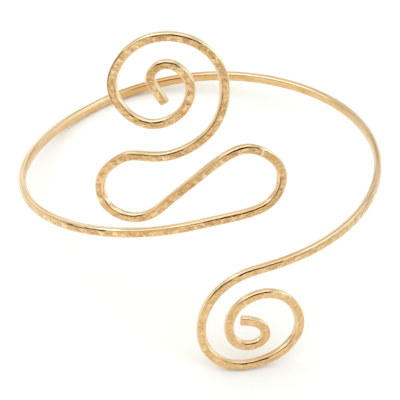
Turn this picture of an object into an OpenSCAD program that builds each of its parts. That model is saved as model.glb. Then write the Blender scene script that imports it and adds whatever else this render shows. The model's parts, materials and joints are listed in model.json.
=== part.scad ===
// Upper-arm cuff bent from one length of hammered wire: a scroll above, two loops,
// a single open turn round the arm, and a smaller scroll below.
// The wire is drawn flat, as on a bending board, and then rolled round the arm.

/* [Fit] */
// Inside diameter of the turn that goes round the upper arm
arm_d = 86; // [78:1:100]

/* [Wire] */
// Width of the wire across its hammered outer face
wire_w = 2.3; // [2:0.1:2.8]
// Thickness of the wire from the arm outwards
wire_t = 1.8; // [1.4:0.1:2.2]
// Radius of the wire's four long edges
edge_r = 0.6; // [0.3:0.1:0.6]
// How far the cut ends are eased
end_ease = 0.2; // [0.1:0.1:0.5]

/* [Standing] */
// How far the cuff leans back when it stands by itself, in degrees
lean_back = 17.3; // [0:0.1:30]
// How far it leans to the viewer's left, in degrees
lean_side = 8.6; // [0:0.1:15]

/* [Hidden] */

// Longest stretch between two cross sections, where the wire is scrolled and where it is not
scroll_step = 1.4;
turn_step = 4;
// Points on each rounded edge of a cross section
edge_points = 3;

// Radius of the wire's middle line round the arm
route_r = arm_d / 2 + wire_t / 2;
full_turn = 360;

// Columns of the three tables on the bending board: mm to the viewer's right of the middle
// of the front, and mm up the arm. One row for each eighth of a turn, or so.
ACROSS = 0;
UP = 1;

UPPER_SCROLL = [
    // from the inner end outwards, over the eye
    [-6.5, 44.9], [-8.1, 47.8], [-9.2, 51.5], [-5.5, 55], [-1.7, 52.8],
    // down and round the foot of the inner turn
    [-0.2, 48], [-2.1, 42.9], [-6, 39.8], [-10.6, 39], [-16, 41.9],
    // up and over the outer turn
    [-18.7, 48.4], [-17, 54], [-12, 59.9], [-5, 62.3], [2.5, 59.5],
    // down the right-hand side to the neck
    [6.9, 53], [7.5, 45], [4.5, 37.5], [-1.5, 32.4]
];

LOOPS = [
    // neck and left-hand loop
    [-8, 30.2], [-12.5, 30.1], [-16.5, 29.9], [-20.5, 27.5], [-24.9, 21], [-24.1, 15.4], [-18.5, 12.8],
    // rise to the right-hand loop
    [-12.5, 14.3], [-8, 18], [-2, 22.9], [4.5, 27.5],
    // right-hand loop and the way back to the left
    [10.5, 29.5], [17.3, 25.4], [19.6, 18.5], [16.5, 13.5], [11, 12], [4, 11.6], [-8, 9.9], [-24, 7.4]
];

LOWER_SCROLL = [
    // lead in from the right, and down the outer turn
    [22, -4.3], [14, -4.3], [8.5, -4.7], [2.9, -7.1], [-1.4, -11.9], [-3.6, -18], [-3.1, -24.1],
    // foot of the outer turn, and up its right-hand side
    [0, -28.4], [5, -30.4], [10.5, -30.4], [16.3, -28.7], [20.4, -24.5], [19.9, -18], [16.6, -13.4],
    // over and down the inner turn to the eye
    [12, -11.5], [7, -12.6], [3.4, -16.9], [3.9, -23.1], [8, -25.2], [11.5, -23.5], [11.1, -20.5], [6.2, -17.7]
];

// Columns of the table of the turn: degrees from the middle of the front, going round by the
// left and the back, and mm up the arm
ROUND = 0;

TURN = [
    [50, 5.3], [80, 2.2], [110, -0.2], [140, -1], [180, 0], [220, -0.8], [245, -1.6], [280, -3], [310, -4]
];

// Length along the bending board of an angle round the arm, and the other way about
function board(deg) = deg * PI / 180 * route_r;
function round_arm(mm) = mm / route_r * 180 / PI;

ROUTE = concat(
    [for (row = UPPER_SCROLL) [row[ACROSS], row[UP]]],
    [for (row = LOOPS) [row[ACROSS], row[UP]]],
    [for (row = TURN) [-board(row[ROUND]), row[UP]]],
    [for (row = LOWER_SCROLL) [row[ACROSS] - board(full_turn), row[UP]]]
);
turn_first = len(UPPER_SCROLL) + len(LOOPS) - 1;
turn_last = turn_first + len(TURN);

// Springy wire through the rows, which bends evenly as a real one does. BEND holds how
// sharply it bends at each row: a sweep down the rows, then a sweep back up.
SPAN = [for (i = [0:len(ROUTE) - 2]) norm(ROUTE[i + 1] - ROUTE[i])];
function pull(i) = 6 * ((ROUTE[i + 1] - ROUTE[i]) / SPAN[i] - (ROUTE[i] - ROUTE[i - 1]) / SPAN[i - 1]);
function swept(i, done) = i > len(ROUTE) - 2 ? done :
    let (before = done[i - 1], pivot = 2 * (SPAN[i - 1] + SPAN[i]) - SPAN[i - 1] * before[0])
    swept(i + 1, concat(done, [[SPAN[i] / pivot, (pull(i) - SPAN[i - 1] * before[1]) / pivot]]));
SWEPT = swept(1, [[0, [0, 0]]]);
function bends(i, done) = i < 0 ? done : bends(i - 1, concat([SWEPT[i][1] - SWEPT[i][0] * done[0]], done));
BEND = bends(len(ROUTE) - 2, [[0, 0]]);

// Place on the board and heading there, at a distance along the span that follows row i
function place(i, along) =
    let (span = SPAN[i], left = span - along)
    (BEND[i] * pow(left, 3) + BEND[i + 1] * pow(along, 3)) / (6 * span)
    + (ROUTE[i] / span - BEND[i] * span / 6) * left
    + (ROUTE[i + 1] / span - BEND[i + 1] * span / 6) * along;
function heading(i, along) =
    let (span = SPAN[i], left = span - along)
    (BEND[i + 1] * pow(along, 2) - BEND[i] * pow(left, 2)) / (2 * span)
    + (ROUTE[i + 1] - ROUTE[i]) / span - (BEND[i + 1] - BEND[i]) * span / 6;
function steps(i) = ceil(SPAN[i] / (i >= turn_first && i < turn_last ? turn_step : scroll_step));

// Middle line of the wire rolled round the arm, with the ways along it, outwards and across it
function outward(board_point) =
    let (angle = round_arm(board_point[ACROSS]))
    [sin(angle), -cos(angle), 0];
function rolled(board_point) = outward(board_point) * route_r + [0, 0, board_point[UP]];
function along_wire(board_point, way) =
    let (out = outward(board_point), unit = way / norm(way))
    [-out[1], out[0], 0] * unit[ACROSS] + [0, 0, unit[UP]];
function station(i, along) =
    let (p = place(i, along), out = outward(p), ahead = along_wire(p, heading(i, along)))
    [rolled(p), ahead, out, cross(out, ahead)];
STATIONS = concat(
    [for (i = [0:len(SPAN) - 1]) for (k = [0:steps(i) - 1]) station(i, SPAN[i] * k / steps(i))],
    [station(len(SPAN) - 1, SPAN[len(SPAN) - 1])]
);

// Cross section: a flat band with four rounded edges, made smaller by the easing of an end
function section(ease) = [
    for (corner = [0:3]) for (k = [0:edge_points - 1])
        let (angle = 90 * (corner + k / (edge_points - 1)),
             side = corner == 0 || corner == 3 ? 1 : -1,
             out = corner < 2 ? 1 : -1,
             shrink = 1 - 2 * ease / wire_t)
        [(side * (wire_w / 2 - edge_r) + edge_r * cos(angle)) * shrink,
         (out * (wire_t / 2 - edge_r) + edge_r * sin(angle)) * shrink]
];
function ring(at, ease, ahead) =
    [for (p = section(ease)) at[0] + ahead * at[1] + p[0] * at[3] + p[1] * at[2]];

last = len(STATIONS) - 1;
RINGS = concat(
    [ring(STATIONS[0], end_ease, -end_ease)],
    [for (at = STATIONS) ring(at, 0, 0)],
    [ring(STATIONS[last], end_ease, end_ease)]
);

// The cuff stands on the foot of the lower scroll and on the back of the turn
function tipped(p) =
    let (y = p[1] * cos(lean_back) + p[2] * sin(lean_back),
         z = p[2] * cos(lean_back) - p[1] * sin(lean_back))
    [p[0] * cos(lean_side) - z * sin(lean_side), y, p[0] * sin(lean_side) + z * cos(lean_side)];
TIPPED = [for (points = RINGS) for (p = points) tipped(p)];
function least(axis) = min([for (p = TIPPED) p[axis]]);
function most(axis) = max([for (p = TIPPED) p[axis]]);
FLOOR_CENTRE = [(least(0) + most(0)) / 2, (least(1) + most(1)) / 2, least(2)];

sides = 4 * edge_points;
function wall(r) = [
    for (k = [0:sides - 1])
        let (a = r * sides + k, b = r * sides + (k + 1) % sides)
        each [[a, b + sides, b], [a, a + sides, b + sides]]
];

module armlet_wire() {
    start_cap = [for (k = [0:sides - 1]) k];
    end_cap = [for (k = [sides - 1:-1:0]) (last + 2) * sides + k];
    walls = [for (r = [0:last + 1]) each wall(r)];
    color("#dcb26c")
        polyhedron([for (p = TIPPED) p - FLOOR_CENTRE], concat([start_cap], walls, [end_cap]));
}

armlet_wire();
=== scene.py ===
"""Looks of an open upper-arm cuff, bent from one length of hammered and gilded brass wire.

The wire is made as a smith makes it. A straight bar gets round edges, cut ends and hammer
marks. It is bent along its route on a flat board, rolled round the arm, and stood on the floor.
"""

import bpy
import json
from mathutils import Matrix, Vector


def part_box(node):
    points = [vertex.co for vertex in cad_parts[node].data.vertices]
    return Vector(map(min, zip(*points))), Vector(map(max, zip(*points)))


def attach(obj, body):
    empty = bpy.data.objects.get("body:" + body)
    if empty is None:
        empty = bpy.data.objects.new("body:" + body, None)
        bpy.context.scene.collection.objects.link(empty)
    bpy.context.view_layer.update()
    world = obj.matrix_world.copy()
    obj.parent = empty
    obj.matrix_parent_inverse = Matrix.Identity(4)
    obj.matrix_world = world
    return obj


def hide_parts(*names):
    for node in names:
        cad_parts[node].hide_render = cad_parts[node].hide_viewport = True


bl_info = {
    "name": "Hammered arm cuff",
    "version": (1, 0, 0),
    "blender": (4, 5, 0),
    "location": "3D View > Sidebar > Arm cuff",
    "description": "Makes an open arm cuff of hammered wire with scrolls, and its studio stage",
    "category": "Add Mesh",
}

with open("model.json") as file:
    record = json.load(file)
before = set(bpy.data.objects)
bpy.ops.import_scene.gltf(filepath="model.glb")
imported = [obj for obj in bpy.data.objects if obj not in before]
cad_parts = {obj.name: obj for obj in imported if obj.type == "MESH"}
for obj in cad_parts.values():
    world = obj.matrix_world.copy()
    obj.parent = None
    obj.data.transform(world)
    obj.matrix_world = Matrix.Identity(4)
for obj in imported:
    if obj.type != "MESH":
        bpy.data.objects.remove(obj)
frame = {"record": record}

import json
import math

import bmesh
import bpy
import numpy as np
from mathutils import Quaternion, Vector

NODE = "armlet_wire"
ARM_HOLE = frame["record"]["mounts"][0]["dims"]
MM = 0.001

# Route of the wire on the bending board, in columns: mm to the right of the middle of the
# front, and mm up the arm. These are the rows of the solid in the frame.
UPPER_SCROLL = [
    (-6.5, 44.9), (-8.1, 47.8), (-9.2, 51.5), (-5.5, 55), (-1.7, 52.8),
    (-0.2, 48), (-2.1, 42.9), (-6, 39.8), (-10.6, 39), (-16, 41.9),
    (-18.7, 48.4), (-17, 54), (-12, 59.9), (-5, 62.3), (2.5, 59.5),
    (6.9, 53), (7.5, 45), (4.5, 37.5), (-1.5, 32.4),
]
LOOPS = [
    (-8, 30.2), (-12.5, 30.1), (-16.5, 29.9), (-20.5, 27.5), (-24.9, 21), (-24.1, 15.4), (-18.5, 12.8),
    (-12.5, 14.3), (-8, 18), (-2, 22.9), (4.5, 27.5),
    (10.5, 29.5), (17.3, 25.4), (19.6, 18.5), (16.5, 13.5), (11, 12), (4, 11.6), (-8, 9.9), (-24, 7.4),
]
LOWER_SCROLL = [
    (22, -4.3), (14, -4.3), (8.5, -4.7), (2.9, -7.1), (-1.4, -11.9), (-3.6, -18), (-3.1, -24.1),
    (0, -28.4), (5, -30.4), (10.5, -30.4), (16.3, -28.7), (20.4, -24.5), (19.9, -18), (16.6, -13.4),
    (12, -11.5), (7, -12.6), (3.4, -16.9), (3.9, -23.1), (8, -25.2), (11.5, -23.5), (11.1, -20.5),
    (6.2, -17.7),
]
# The open turn, in columns: degrees round the arm by the left and the back, and mm up.
TURN = [
    (50, 5.3), (80, 2.2), (110, -0.2), (140, -1), (180, 0), (220, -0.8), (245, -1.6), (280, -3), (310, -4),
]

# Rows of the whole route where its parts begin, and its last row
LOOPS_START = len(UPPER_SCROLL)
TURN_START = LOOPS_START + len(LOOPS)
LOWER_START = TURN_START + len(TURN)
ROUTE_END = LOWER_START + len(LOWER_SCROLL) - 1

# How hard each stretch was hammered, in columns: row of the route, and share of a full blow.
HAMMERED = [
    (0, 1.0), (TURN_START, 0.9), (TURN_START + 1, 0.7), (TURN_START + 2, 0.15), (LOWER_START - 3, 0.15),
    (LOWER_START - 1, 0.7), (LOWER_START + 3, 0.6), (ROUTE_END, 0.55),
]
# Marks of the hammer, in columns: name, size as a share of a full mark, how much wider across
# the wire than along it, and depth as a share of a full blow.
HAMMER_MARKS = [
    ("blows", 1.0, 1.6, 1.0),
    ("taps", 0.65, 1.2, 0.4),
]
# Height in the pattern of marks at which the face neither sinks nor rises
MARK_LEVEL = 0.3
# How far round the edges of the outer face the marks fade out
BLOWS_END = math.radians(25)
# Steps in which the vertex group keeps the share of a full blow
BLOW_STEPS = 64

# Sides of the wire, seen along the route with its outer face up: the signs of Y in the bar
LEFT, RIGHT = 1, -1
# Painted dark reflections of the dark opening in front of the lens, drawn as thin lines where the outer
# face
# meets its rounded edge, in columns: side of the wire, rows of the route where a line begins and ends, and
# its strength as a share.
DARK_REFLECTION_LINES = [
    (LEFT, 2.6, 3.7, 1.0), (RIGHT, 7.1, 8.5, 0.9), (LEFT, 9.4, 11.7, 0.65), (LEFT, 12.6, 14.1, 1.0),
    (RIGHT, 15.8, 17.9, 0.5), (RIGHT, 18.2, 21.0, 0.85), (LEFT, 24.6, 25.8, 1.0), (LEFT, 29.3, 30.5, 1.0),
    (RIGHT, 31.8, 32.9, 0.7), (RIGHT, 33.2, 35.4, 1.0), (RIGHT, 37.0, 37.9, 0.9), (RIGHT, 45.4, 47.4, 0.5),
    (RIGHT, 47.5, 49.4, 1.0), (RIGHT, 49.5, 50.8, 0.85), (LEFT, 54.9, 56.3, 1.0), (RIGHT, 60.6, 61.8, 0.9),
    (LEFT, 64.3, 65.4, 1.0),
]
# Over this length a painted dark line fades out at either end.
DARK_LINE_TAPER = 0.8 * MM
# A painted dark line wanders between these distances from the middle of the wire.
DARK_LINE_NEAR, DARK_LINE_FAR = 0.66 * MM, 0.82 * MM
# Its tone is full within the first distance from its own line, and gone at the second.
DARK_LINE_FULL, DARK_LINE_GONE = 0.09 * MM, 0.17 * MM

# Painted reflection at the back of the turn, where the inner face is drawn darker as it mirrors the upper
# scroll
# in front of it, in columns: row of the route, and share of the deeper tone.
SCROLL_REFLECTION = [
    (TURN_START + 3.2, 0.0), (TURN_START + 3.5, 0.75), (TURN_START + 3.8, 0.65), (TURN_START + 4.0, 0.45),
    (TURN_START + 4.25, 0.0),
]

# How finely the bar is cut: stripes of each broad face and of each narrow side, steps round a
# long edge and round the rim of a cut end, and the cuts along it. The second number cuts again
# each length that the first has left, which gives 48 times 50 rings.
FACE_COLUMNS = 8
FLANK_COLUMNS = 2
EDGE_SEGMENTS = 4
END_SEGMENTS = 3
RING_CUTS = (47, 49)
# Pieces into which the route is cut between two of its rows, as the bar is bent along it
ROUTE_PIECES = 48
# Two points nearer than this lie at one place.
TOUCHING = 0.01 * MM
# Faces that meet at less than this angle are shaded as one smooth surface.
SMOOTH_UNDER = math.radians(40)

# Where the camera stands, as the photograph was taken: what it looks at in mm, its distance in
# mm, its azimuth (0 is in front, 90 on the right) and elevation, and how far it is rolled, in
# degrees.
LOOKED_AT = (-2.67, -17.49, 28.86)
CAMERA_AWAY = 872.5
CAMERA_AZIMUTH = -9.816
CAMERA_ELEVATION = 48.607
CAMERA_ROLL = 7.023
# Its lens: side of the photograph and focal length in pixels, and width of the sensor in mm
PHOTO_SIDE = 400
FOCAL_PIXELS = 3627
SENSOR = 36.0

# Softboxes, in columns: name, azimuth and elevation in degrees, distance, width and height in
# metres, how bright they look beside white card, and their tint.
SOFTBOXES = [
    ("softbox_right", 88, 12, 1.3, 1.2, 0.8, 0.42, "#cfe9ff"),
    ("softbox_left_back", -120, 44, 1.3, 0.8, 0.6, 0.6, "#cfe9ff"),
    ("softbox_above", -165, 74, 1.2, 1.8, 1.8, 0.64, "#fff7ee"),
]

# The white tent round the cuff: how bright it looks beside white card, and round patches in it,
# in columns: azimuth and elevation of the middle, how far out the patch is full and how far out
# it ends, all in degrees, how bright it looks, and its tint. Later patches lie on earlier ones.
TENT = 1.1
TENT_PATCHES = [
    # bright panels behind on the left, and on the right
    (-112, 58, 24, 54, 1.26, "#daf0ff"),
    (-118, 36, 8, 20, 2.0, "#d4ecff"),
    (86, 12, 22, 54, 1.62, "#d2edff"),
    # dimmer cloth behind
    (150, 58, 24, 54, 0.72, "#ffffff"),
    (-168, 40, 16, 38, 0.68, "#ffffff"),
    (-126, 4, 14, 28, 0.72, "#ffffff"),
    (152, 4, 16, 34, 0.85, "#ffffff"),
    # warm, dimmer cloth in front, and the dark opening for the lens
    (-46, 18, 10, 34, 0.85, "#fff8ec"),
    (6, 60, 12, 28, 0.88, "#fff8ec"),
    (-58, 27, 9, 18, 0.85, "#fff0dc"),
    (-36, 30, 8, 15, 0.72, "#ffe8cc"),
    (-16, 33, 9, 16, 0.5, "#ffdcb0"),
    (8, 31, 10, 16, 0.2, "#ffc890"),
    (8, 44, 9, 15, 0.2, "#ffc890"),
    (26, 32, 8, 14, 0.35, "#ffc890"),
]


def linear(hex_colour):
    """Opaque colour of a screen's hex value, in the linear light that shaders take."""
    shares = [int(hex_colour[i:i + 2], 16) / 255 for i in (1, 3, 5)]
    return tuple(c / 12.92 if c <= 0.04045 else ((c + 0.055) / 1.055) ** 2.4 for c in shares) + (1.0,)


class CuffSettings(bpy.types.PropertyGroup):
    """Sizes and colours of the cuff"""
    arm_r: bpy.props.FloatProperty(
        name="Arm radius", description="Inside radius of the turn round the arm",
        default=ARM_HOLE["r_mm"] * MM, min=0.039, max=0.05, unit="LENGTH", precision=4)
    wire_w: bpy.props.FloatProperty(
        name="Wire width", description="Width across the hammered outer face",
        default=2.3 * MM, min=0.002, max=0.0028, unit="LENGTH", precision=5)
    wire_t: bpy.props.FloatProperty(
        name="Wire thickness", description="From the arm outwards",
        default=1.8 * MM, min=0.0014, max=0.0022, unit="LENGTH", precision=5)
    edge_r: bpy.props.FloatProperty(
        name="Edge radius", description="Radius of the four long edges",
        default=0.6 * MM, min=0.0003, max=0.0006, unit="LENGTH", precision=5)
    end_ease: bpy.props.FloatProperty(
        name="End easing", description="How far the cut ends are eased",
        default=0.2 * MM, min=0.0001, max=0.0005, unit="LENGTH", precision=5)
    lean_back: bpy.props.FloatProperty(
        name="Lean back", description="How far the cuff leans back as it stands by itself",
        default=math.radians(17.3), min=0, max=math.radians(30), subtype="ANGLE")
    lean_side: bpy.props.FloatProperty(
        name="Lean to the side", description="How far it leans to the side",
        default=math.radians(8.6), min=0, max=math.radians(15), subtype="ANGLE")
    blow_size: bpy.props.FloatProperty(
        name="Hammer mark", description="Width of one hammer mark",
        default=1.5 * MM, min=0.0008, max=0.003, unit="LENGTH", precision=5)
    blow_depth: bpy.props.FloatProperty(
        name="Hammer depth", description="How deep a full blow bites",
        default=0.3 * MM, min=1e-7, max=0.0006, unit="LENGTH", precision=5)
    gilt: bpy.props.FloatVectorProperty(
        name="Gilding", description="Colour of the pale gold plating",
        default=linear("#eac694"), size=4, min=0, max=1, subtype="COLOR")
    # Worn gilding on the ridges, which also serves as a painted highlight for the light they catch.
    worn_gilt_and_highlight: bpy.props.FloatVectorProperty(
        name="Worn gilding", description="Colour of the ridges between hammer marks, rubbed bright",
        default=linear("#fbe0b0"), size=4, min=0, max=1, subtype="COLOR")
    # Rubbed gilding on the narrow sides, which also serves as a painted highlight: the cream of the
    # mirrored softboxes.
    rubbed_gilt_and_highlight: bpy.props.FloatVectorProperty(
        name="Rubbed gilding",
        description="Colour of the wire's two narrow sides, which polishing rubs palest",
        default=linear("#f6e0bc"), size=4, min=0, max=1, subtype="COLOR")
    # Deeper gilding in clouds and die lines, which also serves as painted shade in the hollows and as a
    # painted reflection at the back of the turn.
    deep_gilt_and_shade: bpy.props.FloatVectorProperty(
        name="Deeper gilding",
        description="Colour where the plating is thicker: in clouds, hollows and die lines",
        default=linear("#cd9d5f"), size=4, min=0, max=1, subtype="COLOR")
    # Grime in the pits, which also serves as painted shade in the creases between hammer marks.
    grime_and_crease_shade: bpy.props.FloatVectorProperty(
        name="Grime", description="Colour of the pits, and of the creases between hammer marks",
        default=linear("#85592a"), size=4, min=0, max=1, subtype="COLOR")
    # Painted dark reflection: the mirrored dark opening in front of the lens, drawn as thin lines along
    # the edges of the outer face.
    dark_reflection: bpy.props.FloatVectorProperty(
        name="Tarnish", description="Colour of the folds along the edges",
        default=linear("#43260b"), size=4, min=0, max=1, subtype="COLOR")


class StageSettings(bpy.types.PropertyGroup):
    """Floor and light of the studio"""
    floor_side: bpy.props.FloatProperty(
        name="Floor side", description="Side of the square pale floor",
        default=4.0, min=1, max=10, unit="LENGTH")
    floor_colour: bpy.props.FloatVectorProperty(
        name="Floor colour", description="Colour of the pale floor",
        default=linear("#fffdf9"), size=4, min=0, max=1, subtype="COLOR")
    # Painted shade: the floor darkens to this colour away from the cuff, as light falls off round a lit
    # middle.
    falloff_shade_colour: bpy.props.FloatVectorProperty(
        name="Far floor colour", description="Colour that the floor shades off to",
        default=linear("#e2d9cc"), size=4, min=0, max=1, subtype="COLOR")
    light_power: bpy.props.FloatProperty(
        name="Light power", description="Share of the soft lights' power",
        default=1.0, min=0, max=4)


def deselect_all():
    """Nothing is selected and nothing is being edited, before a new primitive comes."""
    if bpy.context.object and bpy.context.object.mode != "OBJECT":
        bpy.ops.object.mode_set(mode="OBJECT")
    for thing in bpy.context.selected_objects:
        thing.select_set(False)


def take_only(thing):
    """Only this object is selected and active."""
    deselect_all()
    thing.select_set(True)
    bpy.context.view_layer.objects.active = thing


def add_object(name, data):
    """A new object in the scene, which shows this data."""
    thing = bpy.data.objects.new(name, data)
    bpy.context.scene.collection.objects.link(thing)
    return thing


def apply_modifier(thing, kind, **settings):
    """Adds one modifier with its settings and applies it."""
    take_only(thing)
    modifier = thing.modifiers.new(kind.lower(), kind)
    for name, value in settings.items():
        setattr(modifier, name, value)
    bpy.ops.object.modifier_apply(modifier=modifier.name)


def select_edges(thing, wanted):
    """Selects in edit mode the edges whose two ends pass the test."""
    bpy.ops.mesh.select_mode(type="EDGE")
    bpy.ops.mesh.select_all(action="DESELECT")
    mesh = bmesh.from_edit_mesh(thing.data)
    for edge in mesh.edges:
        if wanted(*(v.co for v in edge.verts)):
            edge.select_set(True)
    bmesh.update_edit_mesh(thing.data)


def points_of(thing):
    """Places of a mesh's points, one row for each."""
    points = np.empty(len(thing.data.vertices) * 3)
    thing.data.vertices.foreach_get("co", points)
    return points.reshape(-1, 3)


def keep_on_points(thing, name, values, kind="FLOAT", field="value"):
    """Keeps a value on each point of a mesh, where a material finds it by its name."""
    layer = thing.data.attributes.new(name, kind, "POINT")
    layer.data.foreach_set(field, values.astype(np.float32).ravel())


def route_rows(route_r):
    """The whole route on the bending board, in metres, from the upper scroll's eye to the lower one's."""
    turn = [(-math.radians(degrees) * route_r, up * MM) for degrees, up in TURN]
    once_round = 2 * math.pi * route_r
    above = [(across * MM, up * MM) for across, up in UPPER_SCROLL + LOOPS]
    below = [(across * MM - once_round, up * MM) for across, up in LOWER_SCROLL]
    return np.array(above + turn + below)


def springy_slopes(rows):
    """Heading of a springy wire at each row, per unit of the straight span between rows, and the spans."""
    steps = np.diff(rows, axis=0)
    span = np.linalg.norm(steps, axis=1)
    chord = steps / span[:, None]
    balance = np.eye(len(rows))
    pull = np.zeros_like(rows)
    for i in range(1, len(rows) - 1):
        balance[i, i - 1:i + 2] = span[i - 1], 2 * (span[i - 1] + span[i]), span[i]
        pull[i] = 6 * (chord[i] - chord[i - 1])
    bend = np.linalg.solve(balance, pull)
    leaving = chord - span[:, None] * (2 * bend[:-1] + bend[1:]) / 6
    arriving = chord[-1] + span[-1] * (bend[-2] + 2 * bend[-1]) / 6
    return np.vstack([leaving, arriving]), span


def row_stations(rows, slopes, span, parts=200):
    """Length of wire from its start to each row, in metres."""
    t = np.linspace(0, 1, parts + 1)[:, None]
    lengths = []
    for i in range(len(span)):
        here = rows[i] + slopes[i] * span[i] / 3
        there = rows[i + 1] - slopes[i + 1] * span[i] / 3
        path = ((1 - t) ** 3 * rows[i] + 3 * (1 - t) ** 2 * t * here
                + 3 * (1 - t) * t ** 2 * there + t ** 3 * rows[i + 1])
        lengths.append(np.linalg.norm(np.diff(path, axis=0), axis=1).sum())
    return np.concatenate([[0], np.cumsum(lengths)])


def lay_route(route_r):
    """The route as a flat curve on the board, and how far along it each row lies."""
    rows = route_rows(route_r)
    slopes, span = springy_slopes(rows)
    curve = bpy.data.curves.new("route", "CURVE")
    curve.dimensions = "2D"
    curve.resolution_u = ROUTE_PIECES
    spline = curve.splines.new("BEZIER")
    spline.bezier_points.add(len(rows) - 1)
    reach = np.concatenate([[span[0]], span, [span[-1]]]) / 3
    for i, point in enumerate(spline.bezier_points):
        point.handle_left_type = point.handle_right_type = "FREE"
        point.co = (*rows[i], 0)
        point.handle_left = (*(rows[i] - slopes[i] * reach[i]), 0)
        point.handle_right = (*(rows[i] + slopes[i] * reach[i + 1]), 0)
    return add_object("route", curve), row_stations(rows, slopes, span)


def straight_bar(cuff, length):
    """A straight bar of wire along +X from the origin, its hammered face up, cut into fine rings."""
    deselect_all()
    bpy.ops.mesh.primitive_cube_add(size=1, location=(length / 2, 0, 0), scale=(1, 1, 1))
    bar = bpy.context.object
    bar.name = "wire"
    bar.scale = (length + 2 * cuff.end_ease, cuff.wire_w, cuff.wire_t)
    bpy.ops.object.transform_apply(location=True, rotation=True, scale=True)
    half_w, half_t = cuff.wire_w / 2, cuff.wire_t / 2
    bpy.ops.object.mode_set(mode="EDIT")

    def lengthwise(a, b):
        return abs(a.x - b.x) > length / 2

    def across_face(a, b):
        flat = abs(abs(a.z) - half_t) < TOUCHING and abs(a.z - b.z) < TOUCHING
        return flat and abs(a.x - b.x) < TOUCHING and abs(a.y - b.y) > half_w / 2

    def across_flank(a, b):
        flat = abs(abs(a.y) - half_w) < TOUCHING and abs(a.y - b.y) < TOUCHING
        return flat and abs(a.x - b.x) < TOUCHING and abs(a.z - b.z) > TOUCHING

    def round_cap(a, b):
        return abs(a.x - b.x) < TOUCHING and (a.x < 0 or a.x > length)

    def between_ends(a, b):
        level = abs(a.y - b.y) < TOUCHING and abs(a.z - b.z) < TOUCHING
        return level and abs(a.x - b.x) > 4 * cuff.end_ease

    select_edges(bar, lengthwise)
    bpy.ops.mesh.bevel(offset=cuff.edge_r, segments=EDGE_SEGMENTS, profile=0.5, affect="EDGES")
    select_edges(bar, across_face)
    bpy.ops.mesh.subdivide(number_cuts=FACE_COLUMNS - 1)
    select_edges(bar, across_flank)
    bpy.ops.mesh.subdivide(number_cuts=FLANK_COLUMNS - 1)
    select_edges(bar, round_cap)
    bpy.ops.mesh.bevel(offset=cuff.end_ease, segments=END_SEGMENTS, profile=0.5, affect="EDGES")
    for cuts in RING_CUTS:
        select_edges(bar, between_ends)
        bpy.ops.mesh.subdivide(number_cuts=cuts)
    bpy.ops.object.mode_set(mode="OBJECT")
    return bar


def stations_of(rows, stations):
    """Lengths along the wire at these rows of the route, whole ones or between two."""
    return np.interp(rows, range(len(stations)), stations)


def share_along(table, stations, along):
    """Share that a table gives by row of the route, at these lengths along the wire."""
    rows, shares = zip(*table)
    return np.interp(along, stations_of(rows, stations), shares)


def blows_at(points, cuff, stations):
    """How hard the hammer hits at each point: all over the outer face, and fading round its edges."""
    along, across, height = points.T
    face_half = cuff.wire_w / 2 - cuff.edge_r
    rise = (height - (cuff.wire_t / 2 - cuff.edge_r)) / cuff.edge_r
    on_face = rise > 0.99
    round_edge = np.clip(1 - np.arccos(np.clip(rise, 0, 1)) / BLOWS_END, 0, 1)
    reached = np.where(np.abs(across) < face_half, on_face, round_edge)
    return share_along(HAMMERED, stations, along) * reached


def dark_lines_at(points, stations):
    """How strong the painted dark reflection line is at each point, on its side of the wire's outer half.
    """
    along, across, height = points.T
    line_strength = np.zeros(len(points))
    for side, first, last, line_share in DARK_REFLECTION_LINES:
        begins, ends = stations_of((first, last), stations)
        within = np.minimum(along - begins, ends - along) / DARK_LINE_TAPER
        beside = (across * side > 0) & (height > 0)
        line_strength = np.maximum(line_strength, line_share * np.clip(within, 0, 1) * beside)
    return line_strength


def note_bar(bar, cuff, stations):
    """Keeps on each point its place in the straight bar, what the hammer does there, and where the painted
    dark lines and painted reflection go.
    """
    points = points_of(bar)
    blows = blows_at(points, cuff, stations)
    keep_on_points(bar, "straight", points, "FLOAT_VECTOR", "vector")
    keep_on_points(bar, "hammered", blows)
    keep_on_points(bar, "dark_reflection_line", dark_lines_at(points, stations))
    keep_on_points(bar, "scroll_reflection", share_along(SCROLL_REFLECTION, stations, points[:, 0]))
    group = bar.vertex_groups.new(name="hammered")
    for step in range(1, BLOW_STEPS + 1):
        these = np.flatnonzero(np.round(blows * BLOW_STEPS) == step)
        if len(these):
            group.add(these.tolist(), step / BLOW_STEPS, "REPLACE")


def hammer(bar, cuff):
    """Hammer marks on the outer face: bowls that run across the wire, and smaller marks in them."""
    unhammered = points_of(bar)
    for name, size, stretch, depth in HAMMER_MARKS:
        marks = bpy.data.textures.new(name, "VORONOI")
        marks.distance_metric = "DISTANCE_SQUARED"
        marks.noise_scale = size * cuff.blow_size
        grain = add_object(name, None)
        grain.scale = (1, stretch, stretch)
        bpy.context.view_layer.update()
        apply_modifier(
            bar, "DISPLACE", texture=marks, texture_coords="OBJECT", texture_coords_object=grain,
            direction="Z", vertex_group="hammered", mid_level=MARK_LEVEL, strength=depth * cuff.blow_depth)
        bpy.data.objects.remove(grain)
        bpy.data.textures.remove(marks)
    risen = points_of(bar)[:, 2] - unhammered[:, 2]
    keep_on_points(bar, "dents", risen / cuff.blow_depth)


def roll(wire, route_r):
    """Sets the bent wire upright and rolls it round the arm, which stands along Z at the origin."""
    wire.rotation_euler = (math.radians(90), 0, 0)
    bpy.ops.object.transform_apply(location=False, rotation=True, scale=False)
    length = np.ptp(points_of(wire)[:, 0])
    apply_modifier(wire, "SIMPLE_DEFORM", deform_method="BEND", deform_axis="Z", angle=length / route_r)
    wire.location = (0, -route_r, 0)
    bpy.ops.object.transform_apply(location=True, rotation=False, scale=False)


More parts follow.
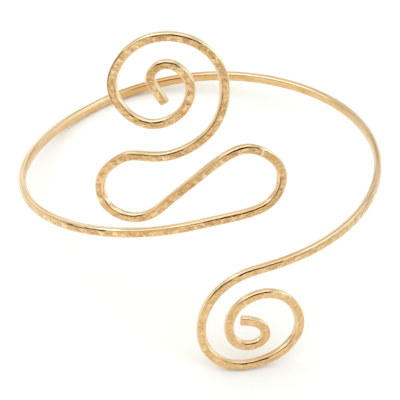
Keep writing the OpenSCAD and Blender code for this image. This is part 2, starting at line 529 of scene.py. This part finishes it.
def stand(wire, cuff):
    """Leans the rolled wire as it stands by itself, and sets it where its solid stands."""
    take_only(wire)
    wire.rotation_mode = "QUATERNION"
    for axis, turn in (((1, 0, 0), -cuff.lean_back), ((0, 1, 0), -cuff.lean_side)):
        wire.rotation_quaternion = Quaternion(axis, turn)
        bpy.ops.object.transform_apply(location=False, rotation=True, scale=False)
    wire.rotation_mode = "XYZ"
    low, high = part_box(NODE)
    points = points_of(wire)
    wire.location = (low + high) / 2 - Vector((points.min(0) + points.max(0)) / 2)
    bpy.ops.object.transform_apply(location=True, rotation=False, scale=False)


class ARMLET_OT_wire(bpy.types.Operator):
    """Hammers, bends and rolls the one wire that the cuff is made of"""
    bl_idname = "armlet.wire"
    bl_label = "Make the wire"

    def execute(self, context):
        cuff = context.scene.armlet_cuff
        route_r = cuff.arm_r + cuff.wire_t / 2
        route, stations = lay_route(route_r)
        wire = straight_bar(cuff, stations[-1])
        note_bar(wire, cuff, stations)
        hammer(wire, cuff)
        apply_modifier(wire, "CURVE", object=route, deform_axis="POS_X")
        bpy.data.objects.remove(route)
        roll(wire, route_r)
        stand(wire, cuff)
        take_only(wire)
        bpy.ops.object.shade_smooth_by_angle(angle=SMOOTH_UNDER)
        wire.data.materials.append(gilt_brass(cuff))
        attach(wire, "root")
        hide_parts(NODE)
        return {"FINISHED"}


def add_node(owner, kind, settings=None, inputs=None):
    """Adds one node to a material or a world, with its settings, and its inputs as values or as
    links from other nodes."""
    node = owner.node_tree.nodes.new(kind)
    for name, value in (settings or {}).items():
        setattr(node, name, value)
    for name, value in (inputs or {}).items():
        if isinstance(value, bpy.types.NodeSocket):
            owner.node_tree.links.new(value, node.inputs[name])
        else:
            node.inputs[name].default_value = value
    return node


def new_material(name):
    """An empty node material."""
    material = bpy.data.materials.new(name)
    material.use_nodes = True
    material.node_tree.nodes.clear()
    return material


def per_mm(*sizes):
    """Scale of a Mapping node that makes one unit of a pattern so many mm long, wide and thick."""
    return tuple(1 / (size * MM) for size in sizes)


def plating_tone(gilt, cuff, clouds, off_middle):
    """Plating: deeper in tone in clouds, with painted shade in the hollows and a painted reflection that
    darkens the back of the turn; rubbed pale on the ridges between hammer marks and on the wire's narrow
    sides, which also carry painted highlights. Returns the tone, and the share of deeper tone from clouds
    and painted hollow shade."""
    dents = add_node(gilt, "ShaderNodeAttribute", {"attribute_name": "dents"})
    cloudy = add_node(gilt, "ShaderNodeMapRange", inputs={
        "Value": clouds.outputs["Fac"], "From Min": 0.4, "From Max": 0.68, "To Max": 0.55})
    # Painted shade: deeper gilding darkens the hammer hollows.
    hollow_shade = add_node(gilt, "ShaderNodeMapRange", inputs={
        "Value": dents.outputs["Fac"], "From Min": 0.0, "From Max": -0.28, "To Max": 0.7})
    deeper_tone_and_shade = add_node(gilt, "ShaderNodeMath", {"operation": "MAXIMUM"}, {
        0: cloudy.outputs["Result"], 1: hollow_shade.outputs["Result"]})
    clouded = add_node(gilt, "ShaderNodeMixRGB", inputs={
        "Fac": deeper_tone_and_shade.outputs["Value"], "Color1": cuff.gilt, "Color2": cuff.deep_gilt_and_shade})
    # Wear and painted highlight: the ridges between hammer marks are paler.
    ridge_highlight = add_node(gilt, "ShaderNodeMapRange", inputs={
        "Value": dents.outputs["Fac"], "From Min": 0.08, "From Max": 0.35, "To Max": 0.9})
    worn_and_highlit = add_node(gilt, "ShaderNodeMixRGB", inputs={
        "Fac": ridge_highlight.outputs["Result"], "Color1": clouded.outputs["Color"], "Color2": cuff.worn_gilt_and_highlight})
    # Rubbing and painted highlight: the narrow sides are paler.
    flank_highlight = add_node(gilt, "ShaderNodeMapRange", inputs={
        "Value": off_middle.outputs["Value"], "From Min": 0.8 * MM, "From Max": 1.0 * MM, "To Max": 0.85})
    rubbed_and_highlit = add_node(gilt, "ShaderNodeMixRGB", inputs={
        "Fac": flank_highlight.outputs["Result"], "Color1": worn_and_highlit.outputs["Color"], "Color2": cuff.rubbed_gilt_and_highlight})
    # Painted reflection: darker at the back of the turn, where the inner face mirrors the upper scroll.
    scroll_reflection = add_node(gilt, "ShaderNodeAttribute", {"attribute_name": "scroll_reflection"})
    plated = add_node(gilt, "ShaderNodeMixRGB", inputs={
        "Fac": scroll_reflection.outputs["Fac"], "Color1": rubbed_and_highlit.outputs["Color"], "Color2": cuff.deep_gilt_and_shade})
    return plated, deeper_tone_and_shade


def die_lines(gilt, cuff, bar, blows, plated):
    """Lines of the drawing die along the wire, which the hammer leaves faint where it hits. Real
    ones are under 0.1 mm apart, and are drawn 0.3 mm apart to show. Returns the tone, and the
    relief of the lines."""
    lines_at = add_node(gilt, "ShaderNodeMapping", inputs={
        "Vector": bar.outputs["Vector"], "Scale": per_mm(14.0, 0.3, 0.3)})
    lines = add_node(gilt, "ShaderNodeTexNoise", inputs={
        "Vector": lines_at.outputs["Vector"], "Scale": 1.0, "Detail": 1.0})
    drawn = add_node(gilt, "ShaderNodeBump", inputs={
        "Height": lines.outputs["Fac"], "Strength": 1.0, "Distance": 0.008 * MM})
    streak = add_node(gilt, "ShaderNodeMapRange", inputs={
        "Value": lines.outputs["Fac"], "From Min": 0.5, "From Max": 0.65, "To Max": 0.65})
    unhammered = add_node(gilt, "ShaderNodeMapRange", inputs={
        "Value": blows.outputs["Fac"], "From Min": 0.6, "From Max": 0.2, "To Min": 0.25})
    left_streak = add_node(gilt, "ShaderNodeMath", {"operation": "MULTIPLY"}, {
        0: streak.outputs["Result"], 1: unhammered.outputs["Result"]})
    streaked = add_node(gilt, "ShaderNodeMixRGB", inputs={
        "Fac": left_streak.outputs["Value"], "Color1": plated.outputs["Color"], "Color2": cuff.deep_gilt_and_shade})
    return streaked, drawn


def pits(gilt, cuff, bar, streaked):
    """Pits with grime in them. Real ones are about 0.1 mm across, and are drawn 0.3 mm across to show."""
    pits_at = add_node(gilt, "ShaderNodeMapping", inputs={
        "Vector": bar.outputs["Vector"], "Scale": per_mm(1.5, 1.1, 1.1)})
    scattered = add_node(gilt, "ShaderNodeTexVoronoi", inputs={
        "Vector": pits_at.outputs["Vector"], "Scale": 1.0})
    pit = add_node(gilt, "ShaderNodeMapRange", inputs={
        "Value": scattered.outputs["Distance"], "From Min": 0.16, "From Max": 0.08, "To Max": 0.42})
    return add_node(gilt, "ShaderNodeMixRGB", inputs={
        "Fac": pit.outputs["Result"], "Color1": streaked.outputs["Color"], "Color2": cuff.grime_and_crease_shade})


def hammer_creases(gilt, cuff, bar, blows, strays, pitted):
    """Creases between blows that overlap, about 1.3 mm apart, some of them closed up, with painted shade
    in the open ones. Returns the tone, and how deep the creases are."""
    straying = 0.9
    stray = add_node(gilt, "ShaderNodeVectorMath", {"operation": "SCALE"}, {
        0: strays.outputs["Color"], "Scale": straying})
    cells_at = add_node(gilt, "ShaderNodeMapping", inputs={
        "Vector": bar.outputs["Vector"], "Location": (-straying / 2,) * 3, "Scale": per_mm(1.3, 1.2, 1.2)})
    strayed = add_node(gilt, "ShaderNodeVectorMath", {"operation": "ADD"}, {
        0: cells_at.outputs["Vector"], 1: stray.outputs["Vector"]})
    cracks = add_node(gilt, "ShaderNodeTexVoronoi", {"feature": "DISTANCE_TO_EDGE"}, {
        "Vector": strayed.outputs["Vector"], "Scale": 1.0})
    crack = add_node(gilt, "ShaderNodeMapRange", {"interpolation_type": "SMOOTHSTEP"}, {
        "Value": cracks.outputs["Distance"], "From Min": 0.16, "From Max": 0.02})
    open_here = add_node(gilt, "ShaderNodeMapRange", inputs={
        "Value": strays.outputs["Fac"], "From Min": 0.4, "From Max": 0.55})
    open_crack = add_node(gilt, "ShaderNodeMath", {"operation": "MULTIPLY"}, {
        0: crack.outputs["Result"], 1: open_here.outputs["Result"]})
    crease = add_node(gilt, "ShaderNodeMath", {"operation": "MULTIPLY"}, {
        0: open_crack.outputs["Value"], 1: blows.outputs["Fac"]})
    # Painted shade: the grime colour darkens the open creases.
    crease_shade = add_node(gilt, "ShaderNodeMapRange", inputs={"Value": crease.outputs["Value"], "To Max": 0.4})
    crease_shaded = add_node(gilt, "ShaderNodeMixRGB", inputs={
        "Fac": crease_shade.outputs["Result"], "Color1": pitted.outputs["Color"], "Color2": cuff.grime_and_crease_shade})
    return crease_shaded, crease


def painted_dark_lines(gilt, cuff, clouds, strays, off_middle, crease_shaded):
    """Painted dark reflection of the dark opening in front of the lens: a wavy hairline along the rounded
    edge of the outer face, broken here and there, drawn 0.26 mm wide."""
    dark_lines = add_node(gilt, "ShaderNodeAttribute", {"attribute_name": "dark_reflection_line"})
    wave = add_node(gilt, "ShaderNodeMapRange", inputs={
        "Value": strays.outputs["Fac"], "From Min": 0.3, "From Max": 0.7,
        "To Min": DARK_LINE_NEAR, "To Max": DARK_LINE_FAR})
    off_line = add_node(gilt, "ShaderNodeMath", {"operation": "SUBTRACT"}, {
        0: off_middle.outputs["Value"], 1: wave.outputs["Result"]})
    from_line = add_node(gilt, "ShaderNodeMath", {"operation": "ABSOLUTE"}, {0: off_line.outputs["Value"]})
    hairline = add_node(gilt, "ShaderNodeMapRange", inputs={
        "Value": from_line.outputs["Value"], "From Min": DARK_LINE_GONE, "From Max": DARK_LINE_FULL})
    open_here = add_node(gilt, "ShaderNodeMapRange", inputs={
        "Value": clouds.outputs["Fac"], "From Min": 0.3, "From Max": 0.4})
    line_strength = add_node(gilt, "ShaderNodeMath", {"operation": "MULTIPLY"}, {
        0: hairline.outputs["Result"], 1: open_here.outputs["Result"]})
    dark_line = add_node(gilt, "ShaderNodeMath", {"operation": "MULTIPLY"}, {
        0: line_strength.outputs["Value"], 1: dark_lines.outputs["Fac"]})
    # Painted dark reflection: the dark line colour is mixed in along the hairline.
    return add_node(gilt, "ShaderNodeMixRGB", inputs={
        "Fac": dark_line.outputs["Value"], "Color1": crease_shaded.outputs["Color"], "Color2": cuff.dark_reflection})


def gilt_brass(cuff):
    """Brass wire, drawn through a die, hammered cold on its outer face, then plated with pale gold
    and polished. The plating is mirror bright, cloudy in tone, and a little matt in the hollows. Its
    colour also holds
    painted light: shade in the hollows and creases, highlights on the ridges and narrow sides, and dark
    reflections along the edges and at the back of the turn."""
    gilt = new_material("gilt_brass_hammered_and_polished")
    bar = add_node(gilt, "ShaderNodeAttribute", {"attribute_name": "straight"})
    blows = add_node(gilt, "ShaderNodeAttribute", {"attribute_name": "hammered"})
    sides = add_node(gilt, "ShaderNodeSeparateXYZ", inputs={"Vector": bar.outputs["Vector"]})
    off_middle = add_node(gilt, "ShaderNodeMath", {"operation": "ABSOLUTE"}, {0: sides.outputs["Y"]})

    # clouds of thicker plating, about 3 mm long, and a finer noise that makes lines stray
    clouds_at = add_node(gilt, "ShaderNodeMapping", inputs={
        "Vector": bar.outputs["Vector"], "Scale": per_mm(3.2, 1.6, 1.6)})
    clouds = add_node(gilt, "ShaderNodeTexNoise", inputs={
        "Vector": clouds_at.outputs["Vector"], "Scale": 1.0, "Detail": 3.0, "Roughness": 0.6})
    strays = add_node(gilt, "ShaderNodeTexNoise", inputs={
        "Vector": clouds_at.outputs["Vector"], "Scale": 2.5, "Detail": 0.0})

    plated, deeper_tone_and_shade = plating_tone(gilt, cuff, clouds, off_middle)
    streaked, drawn = die_lines(gilt, cuff, bar, blows, plated)
    pitted = pits(gilt, cuff, bar, streaked)
    crease_shaded, crease = hammer_creases(gilt, cuff, bar, blows, strays, pitted)
    finish = painted_dark_lines(gilt, cuff, clouds, strays, off_middle, crease_shaded)
    surface = add_node(gilt, "ShaderNodeBump", {"invert": True}, {
        "Height": crease.outputs["Value"], "Strength": 1.0, "Distance": 0.05 * MM,
        "Normal": drawn.outputs["Normal"]})
    gloss = add_node(gilt, "ShaderNodeMapRange", inputs={
        "Value": deeper_tone_and_shade.outputs["Value"], "To Min": 0.04, "To Max": 0.1})
    shader = add_node(gilt, "ShaderNodeBsdfPrincipled", inputs={
        "Base Color": finish.outputs["Color"], "Metallic": 1.0, "Roughness": gloss.outputs["Result"],
        "Normal": surface.outputs["Normal"]})
    add_node(gilt, "ShaderNodeOutputMaterial", inputs={"Surface": shader.outputs["BSDF"]})
    return gilt


def pale_floor(stage):
    """White card with a matt face and a painted falloff of light: it darkens to a pale grey from 0.1 m to
    0.5 m away from the cuff, as light falls off round a lit middle, and the metal mirrors it."""
    card = new_material("white_card_matt")
    place = add_node(card, "ShaderNodeTexCoord")
    away = add_node(card, "ShaderNodeVectorMath", {"operation": "LENGTH"}, {0: place.outputs["Object"]})
    # Painted falloff of light: the floor is darker away from the cuff.
    painted_falloff = add_node(card, "ShaderNodeMapRange", {"interpolation_type": "SMOOTHSTEP"}, {
        "Value": away.outputs["Value"], "From Min": 0.1, "From Max": 0.5})
    colour = add_node(card, "ShaderNodeMixRGB", inputs={
        "Fac": painted_falloff.outputs["Result"], "Color1": stage.floor_colour, "Color2": stage.falloff_shade_colour})
    shader = add_node(card, "ShaderNodeBsdfPrincipled", inputs={
        "Base Color": colour.outputs["Color"], "Roughness": 0.9})
    add_node(card, "ShaderNodeOutputMaterial", inputs={"Surface": shader.outputs["BSDF"]})
    return card


def way(azimuth, elevation):
    """Unit vector towards an azimuth and elevation in degrees: azimuth 0 is in front, 90 on the right."""
    turn, rise = math.radians(azimuth), math.radians(elevation)
    return Vector((math.sin(turn) * math.cos(rise), -math.cos(turn) * math.cos(rise), math.sin(rise)))


def bright(tint, glow):
    """Linear colour of a light that looks that many times as bright as white card."""
    return tuple(c * glow for c in linear(tint)[:3]) + (1.0,)


def soft_lights(stage):
    """Large soft lights on the right, behind on the left, and above. A lamp of pi watts to a
    square metre looks as bright as white card."""
    for name, azimuth, elevation, distance, width, height, glow, tint in SOFTBOXES:
        lamp = bpy.data.lights.new(name, "AREA")
        lamp.shape = "RECTANGLE"
        lamp.size, lamp.size_y = width, height
        lamp.energy = glow * stage.light_power * math.pi * width * height
        lamp.color = linear(tint)[:3]
        holder = add_object(name, lamp)
        holder.location = way(azimuth, elevation) * distance
        holder.rotation_mode = "QUATERNION"
        holder.rotation_quaternion = holder.location.to_track_quat("Z", "Y")


def studio_air():
    """A white tent round the cuff, dimmer behind and in front, with a dark opening in front."""
    world = bpy.data.worlds.new("studio")
    world.use_nodes = True
    world.node_tree.nodes.clear()
    coordinates = add_node(world, "ShaderNodeTexCoord")
    light = None
    for azimuth, elevation, full, ends, glow, tint in TENT_PATCHES:
        near = add_node(world, "ShaderNodeVectorMath", {"operation": "DOT_PRODUCT"}, {
            0: coordinates.outputs["Generated"], 1: way(azimuth, elevation)})
        patch = add_node(world, "ShaderNodeMapRange", {"interpolation_type": "SMOOTHSTEP"}, {
            "Value": near.outputs["Value"], "From Min": math.cos(math.radians(ends)),
            "From Max": math.cos(math.radians(full))})
        light = add_node(world, "ShaderNodeMixRGB", inputs={
            "Fac": patch.outputs["Result"],
            "Color1": light.outputs["Color"] if light else bright("#ffffff", TENT),
            "Color2": bright(tint, glow)})
    air = add_node(world, "ShaderNodeBackground", inputs={"Color": light.outputs["Color"]})
    add_node(world, "ShaderNodeOutputWorld", inputs={"Surface": air.outputs["Background"]})
    bpy.context.scene.world = world


def set_camera():
    """The camera of the photograph: a long lens from above the front, rolled a little."""
    aim = -way(CAMERA_AZIMUTH, CAMERA_ELEVATION)
    rolled = Quaternion((0, 0, 1), math.radians(CAMERA_ROLL))
    lens = bpy.data.cameras.new("camera")
    lens.sensor_width = SENSOR
    lens.lens = FOCAL_PIXELS / PHOTO_SIDE * SENSOR
    camera = add_object("camera", lens)
    camera.location = Vector(LOOKED_AT) * MM - aim * CAMERA_AWAY * MM
    camera.rotation_mode = "QUATERNION"
    camera.rotation_quaternion = aim.to_track_quat("-Z", "Y") @ rolled
    bpy.context.scene.camera = camera


class ARMLET_OT_stage(bpy.types.Operator):
    """Lays the pale floor, hangs the soft lights and sets the camera"""
    bl_idname = "armlet.stage"
    bl_label = "Set the stage"

    def execute(self, context):
        stage = context.scene.armlet_stage
        deselect_all()
        bpy.ops.mesh.primitive_plane_add(size=stage.floor_side, location=(0, 0, 0))
        floor = context.object
        floor.name = "floor"
        floor.data.materials.append(pale_floor(stage))
        soft_lights(stage)
        studio_air()
        set_camera()
        context.scene.view_settings.view_transform = "Standard"
        return {"FINISHED"}


class ARMLET_PT_maker(bpy.types.Panel):
    """Sizes of the cuff and the buttons that make it"""
    bl_idname = "ARMLET_PT_maker"
    bl_label = "Hammered arm cuff"
    bl_space_type = "VIEW_3D"
    bl_region_type = "UI"
    bl_category = "Arm cuff"

    def draw(self, context):
        for settings, operator in ((context.scene.armlet_cuff, "armlet.wire"),
                                   (context.scene.armlet_stage, "armlet.stage")):
            box = self.layout.box()
            for name in settings.bl_rna.properties.keys():
                if name not in {"rna_type", "name"}:
                    box.prop(settings, name)
            box.operator(operator)


CLASSES = (CuffSettings, StageSettings, ARMLET_OT_wire, ARMLET_OT_stage, ARMLET_PT_maker)


def register():
    """Makes the classes and the settings known to Blender."""
    for kind in CLASSES:
        bpy.utils.register_class(kind)
    bpy.types.Scene.armlet_cuff = bpy.props.PointerProperty(type=CuffSettings)
    bpy.types.Scene.armlet_stage = bpy.props.PointerProperty(type=StageSettings)


def unregister():
    """Takes the settings and the classes away again."""
    del bpy.types.Scene.armlet_stage
    del bpy.types.Scene.armlet_cuff
    for kind in reversed(CLASSES):
        bpy.utils.unregister_class(kind)


def main():
    """Makes the cuff and its stage."""
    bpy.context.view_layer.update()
    register()
    bpy.ops.armlet.wire()
    bpy.ops.armlet.stage()


if __name__ == "__main__":
    main()
